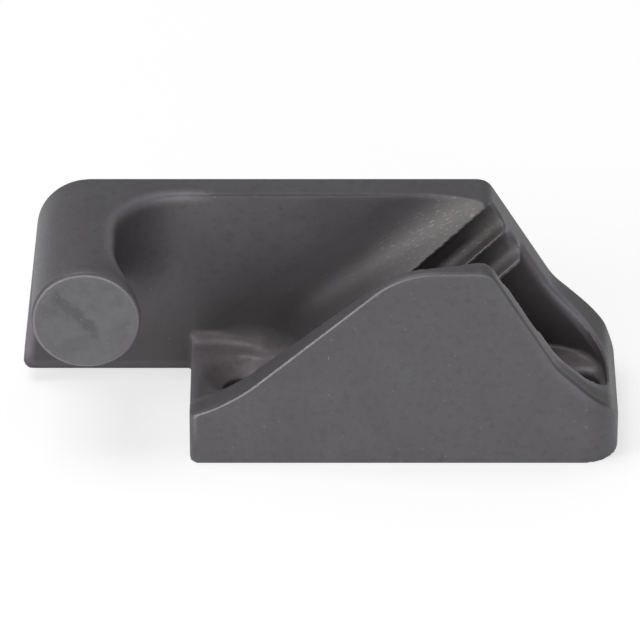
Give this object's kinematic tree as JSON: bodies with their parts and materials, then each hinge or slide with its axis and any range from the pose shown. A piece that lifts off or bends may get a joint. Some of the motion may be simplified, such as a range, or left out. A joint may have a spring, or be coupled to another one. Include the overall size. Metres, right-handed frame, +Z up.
{
  "type": "jam cleat",
  "caption": "Side-entry jam cleat in cast aluminium: a fairlead post feeds the rope under itself into a narrow ribbed channel between two walls.",
  "frame": {"origin": "middle of the outline seen from above, on the flat base, so the deck is at Z = 0", "axes": "+X runs along the rope channel from the fairlead post to the tail pocket, +Y points from the open side to the tall wall that carries the post, +Z points up from the deck"},
  "size_m": [0.0826, 0.0262, 0.0303],
  "materials": {
    "casting": "hard anodised dark grey, fine matt cast texture"
  },
  "bodies": {
    "root": {"cleat_body": "casting"}
  },
  "joints": []
}
